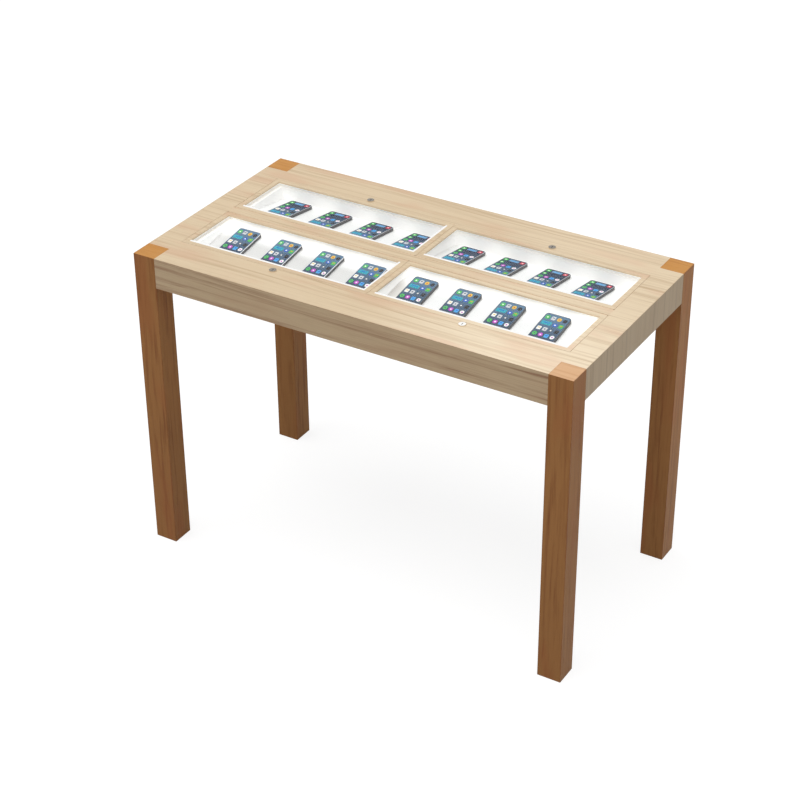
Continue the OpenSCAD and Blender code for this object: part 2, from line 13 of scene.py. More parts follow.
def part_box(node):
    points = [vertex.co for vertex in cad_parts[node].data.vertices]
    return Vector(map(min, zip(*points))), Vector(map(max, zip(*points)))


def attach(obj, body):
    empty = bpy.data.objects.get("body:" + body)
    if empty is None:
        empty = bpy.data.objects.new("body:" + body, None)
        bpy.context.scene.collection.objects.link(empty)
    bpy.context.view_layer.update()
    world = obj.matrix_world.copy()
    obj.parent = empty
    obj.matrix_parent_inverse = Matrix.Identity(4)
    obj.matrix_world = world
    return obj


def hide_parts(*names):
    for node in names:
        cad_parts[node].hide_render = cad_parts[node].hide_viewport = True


ENDS = {"left": -1, "right": 1}
ROWS = {"front": -1, "back": 1}
QUARTERS = [f"{row}_{end}" for row in ROWS for end in ENDS]

# Table
TABLE_LENGTH = 1.200
TABLE_WIDTH = 0.640
TABLE_HEIGHT = 0.840
LEG_SIDE = 0.062
SIDE_HEIGHT = 0.081
TABLE_BOX = ((-TABLE_LENGTH / 2, -TABLE_WIDTH / 2, TABLE_HEIGHT - SIDE_HEIGHT),
             (TABLE_LENGTH / 2, TABLE_WIDTH / 2, TABLE_HEIGHT))

# Lids: below these heights a lid's frame and the boards round it are painted white, and the upright faces
# further in than FRAME_INSIDE from a lid's outline are the lips of its window
LID_REBATE_TOP = TABLE_HEIGHT - 0.0046
BOARD_REBATE_TOP = TABLE_HEIGHT - 0.0131
FRAME_INSIDE = 0.006

# Wells: their inner faces, measured from the table's middle, and their decks
WELL_START = 0.008
WELL_END = 0.514
WELL_INNER_EDGE = 0.022
DECK_FLAT_EDGE = 0.070
DECK_OUTER_EDGE = 0.200
DECK_TOP = 0.811
DECK_DROP = 0.0195
DECK_SLOPE = math.atan(DECK_DROP / (DECK_OUTER_EDGE - DECK_FLAT_EDGE))

# Locks: where their middles are, how far out a flange is painted in the wood's tone as a painted reflection, and
# how deep down its keyway is painted black as painted shade
LOCK_FROM_CENTRE = 0.261
LOCK_SHIFT = 0.005
LOCK_ROW = 0.2225
REFLECTION_PAINT_START = 0.0087
REFLECTION_PAINT_BLUR = 0.0006
KEYWAY_SHADE_DEPTH = 0.0005

# Handsets
HANDSET_WIDTH = 0.066
HANDSET_LENGTH = 0.142
HANDSET_THICK = 0.0086
HANDSET_CORNER = 0.008
HANDSET_COUNT = 4
HANDSET_FROM_MIDDLE = 0.0035
HANDSET_MARGINS = {"left": (0.039, 0.0311), "right": (0.0305, 0.0555)}
HANDSET_OUTLINE = (HANDSET_WIDTH / 2, HANDSET_LENGTH / 2, HANDSET_CORNER)
LEAST_CORNER = 0.0002
SMOOTH_ANGLE = math.radians(35)

# Case, rim and face of a handset: heights, roundings, and insets from the handset's outline
BACK_ROUNDING = 0.0012
CASE_SHOULDER = 0.0002
CASE_MOUTH_INSET = 0.0009
RIM_HEIGHT = 0.0008
RIM_FOOT_INSET = 0.00015
RIM_SIDE_INSET = 0.0001
RIM_CREST_INSET = 0.00064
FACE_BORDER = 0.0019
FACE_THICK = 0.0006
FACE_ROUNDING = 0.0004
FACE_PLAY = 0.00002
FACE_LIFT = 0.00001

# Tiles of the made-up layout, and the mark on each, whose sizes are shares of a tile's half width
CELL_WIDTH = 0.0150
CELL_LENGTH = 0.0222
COLUMNS = 4
LAYOUT_SHIFT = 0.0010
TILE_HALF = 0.0052
TILE_HALF_LENGTH = 0.0066
TILE_CORNER = {"round": 0.98, "square": 0.36, "wide": 0.36}
DOT_HALF = 0.42
BAR_HALF_WIDTH = 0.62
BAR_HALF_LENGTH = 0.26
BAR_FROM_MIDDLE = 0.3
MARK_CORNER = 0.95
TILE_RISE = 0.00012
MARK_RISE = 0.00020

# Studio
FLOOR_HALF = 40.0
FLOOR_LEVEL = -0.0004
FLOOR_GREY = (0.22, 0.22, 0.22, 1.0)
FLOOR_SEEN = 0.84
WORLD_LIGHT = 0.42
SUN_POWER = 2.35
SUN_SPREAD = math.radians(50)
SUN_TOWARDS = (0.12, 0.20, -1.0)

# Camera
EYE = (2.2052, -3.6818, 3.0652)
AZIMUTH = 31.342
ELEVATION = 31.476
ROLL = -0.431
FOCAL_PIXELS = 1991.1
IMAGE_PIXELS = 800
SENSOR = 36.0
CLIP_START = 0.05
CLIP_END = 200.0


def paint(red, green, blue):
    """A colour written as 0..255 in the display's own curve, as linear red, green, blue, 1."""
    share = np.array((red, green, blue)) / 255
    linear = np.where(share <= 0.04045, share / 12.92, ((share + 0.055) / 1.055) ** 2.4)
    return (*linear.tolist(), 1.0)


PURE_WHITE = (1.0, 1.0, 1.0, 1.0)
PURE_BLACK = (0.0, 0.0, 0.0, 1.0)

# Tones of each wood, with the strength and the number per metre of its streaks
PALE_WOOD = {"Pale": paint(209, 188, 156), "Dark": paint(166, 137, 101), "Blush": paint(200, 165, 134),
             "Streaks": 0.66, "Streaks Across": 118.0, "Clouds": 0.62}
SIDE_WOOD = {"Pale": paint(217, 191, 154), "Dark": paint(152, 106, 78), "Blush": paint(200, 160, 126),
             "Streaks": 0.92, "Streaks Across": 90.0, "Clouds": 0.30}
END_SIDE_WOOD = {"Pale": paint(211, 185, 147), "Dark": paint(165, 135, 100), "Blush": paint(196, 166, 126),
                 "Streaks": 0.60, "Streaks Across": 95.0, "Clouds": 0.25}
INNER_WOOD = {"Pale": paint(222, 200, 164), "Dark": paint(178, 150, 112), "Blush": paint(206, 176, 136),
              "Streaks": 0.7, "Streaks Across": 50.0, "Clouds": 0.3}
LEG_WOOD = {"Pale": paint(182, 129, 80), "Dark": paint(142, 89, 55), "Blush": paint(178, 112, 71),
            "Streaks": 0.70, "Streaks Across": 105.0, "Streaks Along": 5.0, "Clouds": 0.52}
LEG_END_WOOD = {"Pale": paint(193, 139, 77), "Dark": paint(156, 102, 54), "Blush": paint(184, 126, 64),
                "Clouds": 0.4}
# The cut end of the front right leg is painted lighter: a painted sheen
LEG_END_PAINTED_SHEEN = {"Pale": paint(214, 173, 134), "Dark": paint(184, 136, 94), "Blush": paint(208, 160, 118),
                "Clouds": 0.4}

# The legs' differences: factors on their colour, painted light on the faces towards +X and on the back right
# leg, and the heights between which the foot's darkening ends
LEG_RIGHT_FACE_PAINTED_LIGHT = 1.13
LEG_FOOT = 0.90
LEG_FOOT_HEIGHTS = (0.10, 0.62)
LEG_PAINTED_LIGHT = {"front_left": 1.0, "front_right": 1.0, "back_left": 1.0, "back_right": 1.14}
LEG_WEAR = paint(150, 88, 48)

# Edge wear: its width, and how much of its colour shows
BOARD_WEAR_WIDTH, BOARD_WEAR_SHARE = 0.0022, 0.45
LEG_WEAR_WIDTH, LEG_WEAR_SHARE = 0.0026, 0.40

# Painted sheen on the top, lighter towards the front right: where it starts and ends along -y and x, and its share at
# the back
PAINTED_SHEEN = paint(233, 216, 188)
PAINTED_SHEEN_FORWARD = (-0.10, 0.26)
PAINTED_SHEEN_RIGHT = (-0.05, 0.38)
PAINTED_SHEEN_AT_BACK = 0.30

# What shows round and under the glass, and the faint glow that stands in for the light inside the wells
# Painted light: the upright edges in the seams, painted lighter than the wood
SEAM_PAINTED_LIGHT = paint(238, 220, 192)
LIP_TONE = paint(205, 184, 155)
REBATE_WHITE = paint(248, 247, 244)
HIDDEN_GLOW = 0.26
FLAT_GLOW = 0.16
WALL_GLOW = {"front": 0.44, "back": 0.38}
WALL_LIGHT = (1.0, 0.995, 0.988, 1.0)
# The walls of the back wells are painted greyer than the front ones, the slopes lighter or darker from well to well,
# and the flat part lighter than the slopes: painted shade and light for how the light falls in each well
WALL_TONES = {"front": (paint(243, 243, 241), paint(240, 240, 238)),
              "back": (paint(222, 221, 218), paint(219, 218, 215))}
FLAT_TONE = paint(250, 250, 249)
SLOPE_TONES = {"front_left": paint(220, 219, 217), "front_right": paint(241, 241, 240),
               "back_left": paint(241, 241, 240), "back_right": paint(246, 246, 245)}
# Painted shadow at the left end of the front right deck
DECK_PAINTED_SHADE = paint(225, 222, 217)
PAINTED_SHADE_END = (0.040, 0.130)
FOLD_BLUR = 0.022
STRIP_TONES = (paint(240, 240, 239), paint(235, 235, 234))

# Metal: a bright and a dull tone of each, and the tones of single places, among them a painted glare on the front
# right lock, a painted reflection of the wood on the flanges, and painted shade in the keyways and on the rims
LOCK_STEEL = (paint(146, 142, 136), paint(112, 109, 104))
PLUG_STEEL = (paint(160, 154, 146), paint(132, 127, 120))
PLATE_STEEL = (paint(214, 214, 215), paint(178, 179, 181))
RIM_STEEL = (paint(246, 247, 250), paint(222, 224, 228))
FLANGE_PAINTED_GLARE = paint(248, 247, 244)
PLUG_PAINTED_GLARE = paint(250, 249, 246)
FLANGE_PAINTED_REFLECTION = paint(208, 190, 164)
KEYWAY_PAINTED_SHADE = paint(26, 25, 24)
HINGE_LACQUER = (paint(208, 180, 146), paint(192, 162, 128))
# Painted shade on the rims, where they show no highlight
RIM_PAINTED_SHADE = paint(82, 88, 96)

# Handsets: the case clean and handled, and the screen at its lower and its upper end
CASE_TONES = (paint(60, 59, 61), paint(72, 71, 73))
SCREEN_LOW, SCREEN_HIGH = paint(22, 38, 66), paint(84, 118, 148)
SCREEN_BLEND = (0.05, 0.98)
SCREEN_DRIFT = 0.30
TILE_TOP_LIGHT = (1.14, 1.14, 1.14, 1.0)

# Glass
GLASS_TINT = (0.995, 0.998, 0.997, 1.0)
GLASS_IOR = 1.45
GLASS_ROUGHNESS = (0.01, 0.04)
MIRRORED_SHARE = 0.08

# Surfaces: how strongly each mirrors, the depth of its relief, and its roughness with what a pattern adds to it
WOOD_SHINE, LEG_SHINE, WHITE_SHINE, CASE_SHINE, PRINT_SHINE = 0.35, 0.06, 0.2, 0.08, 0.0
WOOD_RELIEF, METAL_RELIEF, COAT_RELIEF, PRINT_RELIEF = 0.0006, 0.00005, 0.00004, 0.00001
RELIEF_STRENGTH = 0.35
WOOD_ROUGHNESS, WOOD_ROUGHER = 0.40, 0.22
METAL_ROUGHNESS, METAL_ROUGHER = 0.24, 0.22
WIPED_ROUGHER = 0.10

# Noise: soft blobs per metre along x, y and z, where x runs along the grain or the scratches, and the detail
# and roughness of those that aren't plain
WANDER = {"stretch": (1.7, 8.0, 8.0)}
STREAKS = {"detail": 4.0, "rough": 0.58}
WIDE_BANDS = {"stretch": (0.9, 17.0, 17.0), "detail": 1.0, "rough": 0.4}
FIBRES = {"stretch": (9.0, 620.0, 620.0), "rough": 0.6}
PORES = {"stretch": (70.0, 1500.0, 1500.0), "detail": 1.0}
CLOUDS = {"stretch": (4.0, 17.0, 17.0)}
RAGS = {"stretch": (60.0, 60.0, 60.0), "detail": 3.0}
SCRATCHES = {"stretch": (120.0, 5200.0, 5200.0), "rough": 0.6}
HANDLING = {"stretch": (90.0, 90.0, 90.0), "detail": 3.0, "rough": 0.6}
PEEL = {"stretch": (420.0, 420.0, 420.0), "detail": 1.0, "rough": 0.4}
WIPES = {"stretch": (14.0, 22.0, 22.0), "detail": 3.0, "rough": 0.6}
SMEARS = {"stretch": (9.0, 15.0, 9.0), "detail": 3.0, "rough": 0.6}
DRIFT = {"stretch": (30.0, 30.0, 30.0)}

# Noise: how far it bends the grain, from where to where it shows, and how much of each kind shows
WANDER_Y, WANDER_Z = 0.030, 0.018
STREAKS_SHOW, BANDS_SHOW, FIBRES_SHOW = (0.44, 0.74), (0.30, 0.62), (0.35, 0.75)
PORES_SHOW, CLOUDS_SHOW, RAGS_SHOW = (0.60, 0.74), (0.48, 0.70), (0.3, 0.7)
WIPES_SHOW, SMEARS_SHOW = (0.35, 0.75), (0.45, 0.80)
LEAST_STREAK = 0.40
FIBRE_SHARE, PORE_SHARE, FINE_SHARE = 0.30, 0.22, 0.6
FIBRE_HEIGHT = 0.5
RAG_WIDTHS = (0.35, 1.4)
SCRATCH_SHARE, HANDLING_SHARE = 0.6, 0.4

# Facing: parts of a normal of length 1 along an axis, past which a face counts as level or as a right one
LEVEL = 0.5
RIM_LEVEL = 0.9
RIGHTWARD = (0.4, 0.6)

# Turns that lay the grain along an axis, and where in the log each kind of board starts and how far apart
# its boards were cut
ALONG_X = (0.0, 0.0, 0.0)
ALONG_Y = (0.0, 0.0, math.radians(90))
ALONG_Z = (0.0, math.radians(90), 0.0)
BOARD_LOG = ((0.0, 0.0, 0.0), (0.37, 0.061, 0.113))
LID_LOG = ((0.0, 0.0, 0.017), (0.21, 0.043, 0.091))
LEG_LOG = ((0.11, 0.0, 0.0), (0.29, 0.07, 0.05))
SIDE_LOG = ((0.0, 0.2, 0.0), (0.13, 0.0, 0.31))
INNER_LOG = ((0.0, 0.3, 0.0), (0.19, 0.0, 0.0))


# Node helpers
def fill(tree, node, inputs):
    """Gives a node's inputs, by name or by number, a value or another node's output."""
    for name, value in inputs.items():
        if isinstance(value, bpy.types.NodeSocket):
            tree.links.new(value, node.inputs[name])
        else:
            node.inputs[name].default_value = value


def put(tree, kind, inputs=None, **settings):
    """A new node with its settings and its inputs."""
    made = tree.nodes.new(kind)
    for name, value in settings.items():
        setattr(made, name, value)
    fill(tree, made, inputs or {})
    return made


def use(tree, group, inputs):
    """The outputs of a group placed in a material."""
    return put(tree, "ShaderNodeGroup", inputs, node_tree=group).outputs


def calc(tree, operation, *values):
    """The output of a Math node."""
    return put(tree, "ShaderNodeMath", dict(enumerate(values)), operation=operation).outputs[0]


def vector_calc(tree, operation, *values):
    """The output of a Vector Math node."""
    return put(tree, "ShaderNodeVectorMath", dict(enumerate(values)), operation=operation).outputs[0]


def split(tree, vector):
    """The x, y and z of a vector."""
    return put(tree, "ShaderNodeSeparateXYZ", {0: vector}).outputs


def join(tree, x=0.0, y=0.0, z=0.0):
    """A vector of three values."""
    return put(tree, "ShaderNodeCombineXYZ", {"X": x, "Y": y, "Z": z}).outputs[0]


def noise(tree, vector, stretch, detail=2.0, rough=0.5):
    """Soft noise from 0 to 1 with so many blobs per metre along x, y and z."""
    stretched = vector_calc(tree, "MULTIPLY", vector, stretch)
    return put(tree, "ShaderNodeTexNoise", {"Vector": stretched, "Scale": 1.0, "Detail": detail, "Roughness": rough},
               noise_dimensions="3D").outputs["Fac"]


def ramp(tree, value, low, high, start=0.0, end=1.0):
    """value between low and high, smoothly turned into start to end."""
    return put(tree, "ShaderNodeMapRange", {"Value": value, "From Min": low, "From Max": high, "To Min": start,
                                            "To Max": end}, interpolation_type="SMOOTHSTEP").outputs["Result"]


def blend(tree, share, first, second, way="MIX"):
    """Two colours mixed by a share."""
    return put(tree, "ShaderNodeMix", {0: share, 6: first, 7: second}, data_type="RGBA", blend_type=way).outputs[2]


def tinted(tree, first, second):
    """Two colours multiplied."""
    return blend(tree, 1.0, first, second, "MULTIPLY")


def in_front_right(tree, x, y):
    """1 in the table's front right quarter and 0 elsewhere."""
    return calc(tree, "MULTIPLY", calc(tree, "GREATER_THAN", x, 0.0), calc(tree, "LESS_THAN", y, 0.0))


def new_group(name, inputs, outputs):
    """An empty shader node group with named sockets: the tree, its inputs by name and its output node."""
    tree = bpy.data.node_groups.new(name, "ShaderNodeTree")
    for title, kind, value in inputs:
        socket = tree.interface.new_socket(name=title, in_out="INPUT", socket_type=f"NodeSocket{kind}")
        if value is not None:
            socket.default_value = value
    for title, kind in outputs:
        tree.interface.new_socket(name=title, in_out="OUTPUT", socket_type=f"NodeSocket{kind}")
    return tree, tree.nodes.new("NodeGroupInput").outputs, tree.nodes.new("NodeGroupOutput")


# Effects that several materials share
def grain_effect():
    """Sawn wood whose grain runs along x: wandering streaks, fine fibres, short pores and soft darker clouds."""
    tree, given, result = new_group(
        "Wood grain",
        [("Vector", "Vector", None), ("Pale", "Color", None), ("Dark", "Color", None), ("Blush", "Color", None),
         ("Streaks", "Float", 0.5), ("Streaks Across", "Float", 55.0), ("Streaks Along", "Float", 1.5),
         ("Clouds", "Float", 0.4)],
        [("Color", "Color"), ("Roughness", "Float"), ("Height", "Float")])
    place = given["Vector"]
    wander = calc(tree, "SUBTRACT", noise(tree, place, **WANDER), 0.5)
    sideways = join(tree, y=calc(tree, "MULTIPLY", wander, WANDER_Y), z=calc(tree, "MULTIPLY", wander, WANDER_Z))
    bent = vector_calc(tree, "ADD", place, sideways)
    per_metre = join(tree, given["Streaks Along"], given["Streaks Across"], given["Streaks Across"])
    streaks = ramp(tree, noise(tree, bent, per_metre, **STREAKS), *STREAKS_SHOW)
    bands = ramp(tree, noise(tree, bent, **WIDE_BANDS), *BANDS_SHOW, start=LEAST_STREAK)
    fibres = noise(tree, bent, **FIBRES)
    pores = ramp(tree, noise(tree, bent, **PORES), *PORES_SHOW)
    clouds = ramp(tree, noise(tree, place, **CLOUDS), *CLOUDS_SHOW)
    fine = calc(tree, "MULTIPLY_ADD", ramp(tree, fibres, *FIBRES_SHOW), FIBRE_SHARE,
                calc(tree, "MULTIPLY", pores, PORE_SHARE))
    dark = calc(tree, "ADD", calc(tree, "MULTIPLY", streaks, bands), calc(tree, "MULTIPLY", fine, FINE_SHARE))
    colour = blend(tree, calc(tree, "MULTIPLY", dark, given["Streaks"]), given["Pale"], given["Dark"])
    colour = blend(tree, calc(tree, "MULTIPLY", clouds, given["Clouds"]), colour, given["Blush"])
    fill(tree, result, {"Color": colour,
                        "Roughness": calc(tree, "MULTIPLY_ADD", fine, WOOD_ROUGHER, WOOD_ROUGHNESS),
                        "Height": calc(tree, "SUBTRACT", calc(tree, "MULTIPLY", fibres, FIBRE_HEIGHT), pores)})
    return tree


def edge_effect():
    """1 along the edges of a box and 0 away from them. Of a point's three distances to the box's nearer faces
    one is 0 on the surface, and the middle one is how far the nearest edge is."""
    tree, given, result = new_group(
        "Edge wear", [("Vector", "Vector", None), ("Low", "Vector", None), ("High", "Vector", None),
                      ("Width", "Float", 0.002)], [("Mask", "Float")])
    near = vector_calc(tree, "MINIMUM", vector_calc(tree, "SUBTRACT", given["Vector"], given["Low"]),
                       vector_calc(tree, "SUBTRACT", given["High"], given["Vector"]))
    x, y, z = split(tree, near)
    least = calc(tree, "MINIMUM", x, calc(tree, "MINIMUM", y, z))
    most = calc(tree, "MAXIMUM", x, calc(tree, "MAXIMUM", y, z))
    middle = calc(tree, "SUBTRACT", calc(tree, "ADD", x, calc(tree, "ADD", y, z)), calc(tree, "ADD", least, most))
    ragged = ramp(tree, noise(tree, given["Vector"], **RAGS), *RAGS_SHOW, *RAG_WIDTHS)
    width = calc(tree, "MULTIPLY", given["Width"], ragged)
    away = ramp(tree, calc(tree, "DIVIDE", middle, width), 0.0, 1.0)
    fill(tree, result, {"Mask": calc(tree, "SUBTRACT", 1.0, away)})
    return tree


def brushed_effect():
    """Fine parallel scratches along x and a soft cloud of handling marks."""
    tree, given, result = new_group(
        "Brushed metal", [("Vector", "Vector", None), ("Bright", "Color", None), ("Dull", "Color", None)],
        [("Color", "Color"), ("Roughness", "Float"), ("Height", "Float")])
    scratches = noise(tree, given["Vector"], **SCRATCHES)
    marks = noise(tree, given["Vector"], **HANDLING)
    share = calc(tree, "MULTIPLY_ADD", scratches, SCRATCH_SHARE, calc(tree, "MULTIPLY", marks, HANDLING_SHARE))
    fill(tree, result, {"Color": blend(tree, share, given["Bright"], given["Dull"]),
                        "Roughness": calc(tree, "MULTIPLY_ADD", share, METAL_ROUGHER, METAL_ROUGHNESS),
                        "Height": scratches})
    return tree


def coated_effect():
    """Sprayed or moulded gloss: a faint orange peel, and wiped patches that are a little less glossy."""
    tree, given, result = new_group(
        "Smooth coat", [("Vector", "Vector", None), ("Clean", "Color", None), ("Handled", "Color", None),
                        ("Gloss", "Float", 0.2)],
        [("Color", "Color"), ("Roughness", "Float"), ("Height", "Float")])
    wiped = ramp(tree, noise(tree, given["Vector"], **WIPES), *WIPES_SHOW)
    fill(tree, result, {"Color": blend(tree, wiped, given["Clean"], given["Handled"]),
                        "Roughness": calc(tree, "MULTIPLY_ADD", wiped, WIPED_ROUGHER, given["Gloss"]),
                        "Height": noise(tree, given["Vector"], **PEEL)})
    return tree


GRAIN, EDGE, BRUSHED, COATED = (make() for make in (grain_effect, edge_effect, brushed_effect, coated_effect))


# Materials
def new_material(name):
    """A material with a Principled shader: the node tree, the shader and the texture coordinates by name."""
    material = bpy.data.materials.new(name)
    material.use_nodes = True
    tree = material.node_tree
    return material, tree, tree.nodes["Principled BSDF"], put(tree, "ShaderNodeTexCoord").outputs


def finish_shader(tree, shader, colour, effect, relief):
    """Joins a colour and an effect's roughness and height to a Principled shader."""
    raised = put(tree, "ShaderNodeBump", {"Height": effect["Height"], "Strength": RELIEF_STRENGTH,
                                          "Distance": relief})
    fill(tree, shader, {"Base Color": colour, "Roughness": effect["Roughness"], "Normal": raised.outputs[0]})


def show(tree, surface):
    """Makes a shader node the material's surface."""
    fill(tree, tree.nodes["Material Output"], {"Surface": surface.outputs[0]})


def with_painted_sheen(tree, place, colour, pale):
    """The colour painted lighter towards the table's front right corner: a painted sheen."""
    x, y, _ = split(tree, place["Object"])
    forward = ramp(tree, calc(tree, "MULTIPLY", y, -1.0), *PAINTED_SHEEN_FORWARD, start=PAINTED_SHEEN_AT_BACK)
    share = calc(tree, "MULTIPLY", ramp(tree, x, *PAINTED_SHEEN_RIGHT), forward)
    lighter = tinted(tree, colour, tuple(most / own for most, own in zip(PAINTED_SHEEN, pale)))
    return blend(tree, share, colour, lighter)


def beside_glass(tree, shader, place, colour, rebate_top, window):
    """The colour of wood beside the glass: its upright edges painted lighter, as painted light in the shaded seams,
    and painted white below rebate_top, where it glows faintly. window gives the middle and the half size of a lid's
    window, whose lips glow faintly in their own tone: painted light standing in for the light of the well."""
    x, y, height = split(tree, place["Object"])
    facing = split(tree, place["Normal"])["Z"]
    upright = calc(tree, "LESS_THAN", calc(tree, "ABSOLUTE", facing), LEVEL)
    painted = calc(tree, "MULTIPLY", calc(tree, "LESS_THAN", height, rebate_top),
                   calc(tree, "GREATER_THAN", facing, -LEVEL))
    # Painted light: upright edges lighter, and the lips and the white rebates glowing
    colour = blend(tree, upright, colour, SEAM_PAINTED_LIGHT)
    light = PURE_BLACK
    if window:
        across, along = (calc(tree, "LESS_THAN", calc(tree, "ABSOLUTE", calc(tree, "SUBTRACT", at, middle)), half)
                         for at, middle, half in zip((x, y), *window))
        lip = calc(tree, "MULTIPLY", upright, calc(tree, "MULTIPLY", across, along))
        colour = blend(tree, lip, colour, LIP_TONE)
        light = blend(tree, lip, light, LIP_TONE)
    fill(tree, shader, {"Emission Color": blend(tree, painted, light, REBATE_WHITE),
                        "Emission Strength": HIDDEN_GLOW})
    return blend(tree, painted, colour, REBATE_WHITE)


def wood(name, tones, turn, shift, box, rebate_top=None, window=None):
    """Lacquered wood: the grain turned along the board and shifted to the board's own place in the log, and
    darker where its edges are worn. The wood of the top, which has a rebate_top, gets a painted sheen to the front
    right."""
    material, tree, shader, place = new_material(name)
    spot = put(tree, "ShaderNodeMapping", {"Vector": place["Object"], "Rotation": turn, "Location": shift})
    grain = use(tree, GRAIN, {"Vector": spot.outputs[0], **tones})
    worn = use(tree, EDGE, {"Vector": place["Object"], "Low": box[0], "High": box[1], "Width": BOARD_WEAR_WIDTH})
    colour = with_painted_sheen(tree, place, grain["Color"], tones["Pale"]) if rebate_top else grain["Color"]
    colour = blend(tree, calc(tree, "MULTIPLY", worn["Mask"], BOARD_WEAR_SHARE), colour, tones["Dark"])
    if rebate_top:
        colour = beside_glass(tree, shader, place, colour, rebate_top, window)
    finish_shader(tree, shader, colour, grain, WOOD_RELIEF)
    fill(tree, shader, {"Specular IOR Level": WOOD_SHINE})
    return material


def leg_wood(name, end_tones, shift, box, strength):
    """Oiled hardwood: the grain runs up the leg, and the cut end in the table's top shows its own tone. The face
    towards +X is painted lighter, painted light for how the light falls on it, and the lower half is a little
    darker. strength times the colour is painted light that brightens one leg against the others."""
    material, tree, shader, place = new_material(name)
    upright = put(tree, "ShaderNodeMapping", {"Vector": place["Object"], "Rotation": ALONG_Z, "Location": shift})
    level = put(tree, "ShaderNodeMapping", {"Vector": place["Object"], "Location": shift})
    facing = split(tree, place["Normal"])
    height = split(tree, place["Object"])["Z"]
    is_end = calc(tree, "GREATER_THAN", facing["Z"], LEVEL)
    side = use(tree, GRAIN, {"Vector": upright.outputs[0], **LEG_WOOD})
    end = use(tree, GRAIN, {"Vector": level.outputs[0], **LEG_WOOD, **end_tones})
    worn = use(tree, EDGE, {"Vector": place["Object"], "Low": box[0], "High": box[1], "Width": LEG_WEAR_WIDTH})
    # Painted light on the faces towards +X and on the back right leg
    paler = ramp(tree, facing["X"], *RIGHTWARD, start=strength, end=strength * LEG_RIGHT_FACE_PAINTED_LIGHT)
    tone = calc(tree, "MULTIPLY", paler, ramp(tree, height, *LEG_FOOT_HEIGHTS, start=LEG_FOOT))
    colour = blend(tree, is_end, tinted(tree, side["Color"], join(tree, tone, tone, tone)), end["Color"])
    colour = blend(tree, calc(tree, "MULTIPLY", worn["Mask"], LEG_WEAR_SHARE), colour, LEG_WEAR)
    finish_shader(tree, shader, colour, side, WOOD_RELIEF)
    fill(tree, shader, {"Specular IOR Level": LEG_SHINE})
    return material


def from_lock(tree, x, y):
    """How far a point is from the middle of the nearest lock."""
    beside = calc(tree, "ABSOLUTE", calc(tree, "SUBTRACT", x, LOCK_SHIFT))
    across = calc(tree, "SUBTRACT", beside, LOCK_FROM_CENTRE)
    along = calc(tree, "SUBTRACT", calc(tree, "ABSOLUTE", y), LOCK_ROW)
    return calc(tree, "SQRT", calc(tree, "MULTIPLY_ADD", across, across, calc(tree, "MULTIPLY", along, along)))


def steel(name, bright, dull_and_painted_shade, turn=ALONG_X, corner=None, painted_shade_below=None, painted_reflection_from=None):
    """Brushed steel. The lock of the front right corner, where a corner colour is given, is painted in it: a painted
    glare. What is lower than painted_shade_below is painted black: painted shade inside the keyway. Further than
    painted_reflection_from from a lock's middle the metal is painted in the tone of the wood round it: a painted
    reflection."""
    material, tree, shader, place = new_material(name)
    spot = put(tree, "ShaderNodeMapping", {"Vector": place["Object"], "Rotation": turn})
    brushed = use(tree, BRUSHED, {"Vector": spot.outputs[0], "Bright": bright, "Dull": dull_and_painted_shade})
    x, y, height = split(tree, place["Object"])
    colour = brushed["Color"]
    # Painted glare on the front right lock
    if corner:
        colour = blend(tree, in_front_right(tree, x, y), colour, corner)
    # Painted shade inside the keyway
    if painted_shade_below:
        colour = blend(tree, calc(tree, "LESS_THAN", height, painted_shade_below), colour, KEYWAY_PAINTED_SHADE)
    # Painted reflection: the flange's outer ring painted in the wood's tone
    if painted_reflection_from:
        polished = ramp(tree, from_lock(tree, x, y), painted_reflection_from, painted_reflection_from + REFLECTION_PAINT_BLUR)
        colour = blend(tree, polished, colour, FLANGE_PAINTED_REFLECTION)
    finish_shader(tree, shader, colour, brushed, METAL_RELIEF)
    fill(tree, shader, {"Metallic": 1.0})
    return material


def rim_metal(name):
    """A handset's rim: polished, with its slanting outside painted dark except in the front left well, and painted
    dark all over in the front right one: painted shade where the rim shows no highlight."""
    material, tree, shader, place = new_material(name)
    brushed = use(tree, BRUSHED, {"Vector": place["Object"], "Bright": RIM_STEEL[0], "Dull": RIM_STEEL[1]})
    x, y, _ = split(tree, place["Object"])
    facing = split(tree, place["Normal"])["Z"]
    elsewhere = calc(tree, "MAXIMUM", calc(tree, "GREATER_THAN", x, 0.0), calc(tree, "GREATER_THAN", y, 0.0))
    slanting = calc(tree, "MULTIPLY", calc(tree, "LESS_THAN", facing, RIM_LEVEL), elsewhere)
    rim_painted_shade = calc(tree, "MAXIMUM", slanting, in_front_right(tree, x, y))
    finish_shader(tree, shader, blend(tree, rim_painted_shade, brushed["Color"], RIM_PAINTED_SHADE), brushed, METAL_RELIEF)
    fill(tree, shader, {"Metallic": 1.0})
    return material


def coat(name, clean, handled, gloss, shine=0.5, glow=0.0):
    """A sprayed or moulded surface. A glow stands in for the light inside a well."""
    material, tree, shader, place = new_material(name)
    coated = use(tree, COATED, {"Vector": place["Object"], "Clean": clean, "Handled": handled, "Gloss": gloss})
    finish_shader(tree, shader, coated["Color"], coated, COAT_RELIEF)
    fill(tree, shader, {"Specular IOR Level": shine})
    if glow:
        fill(tree, shader, {"Emission Color": WALL_LIGHT, "Emission Strength": glow})
    return material


def coated_over(tree, place, colour, handled, gloss):
    """A colour under a smooth coat, which darkens it to a share of handled where it was wiped: the colour and
    the coat's outputs."""
    coated = use(tree, COATED, {"Vector": place["Object"], "Clean": PURE_WHITE,
                                "Handled": (handled, handled, handled, 1.0), "Gloss": gloss})
    return tinted(tree, colour, coated["Color"]), coated


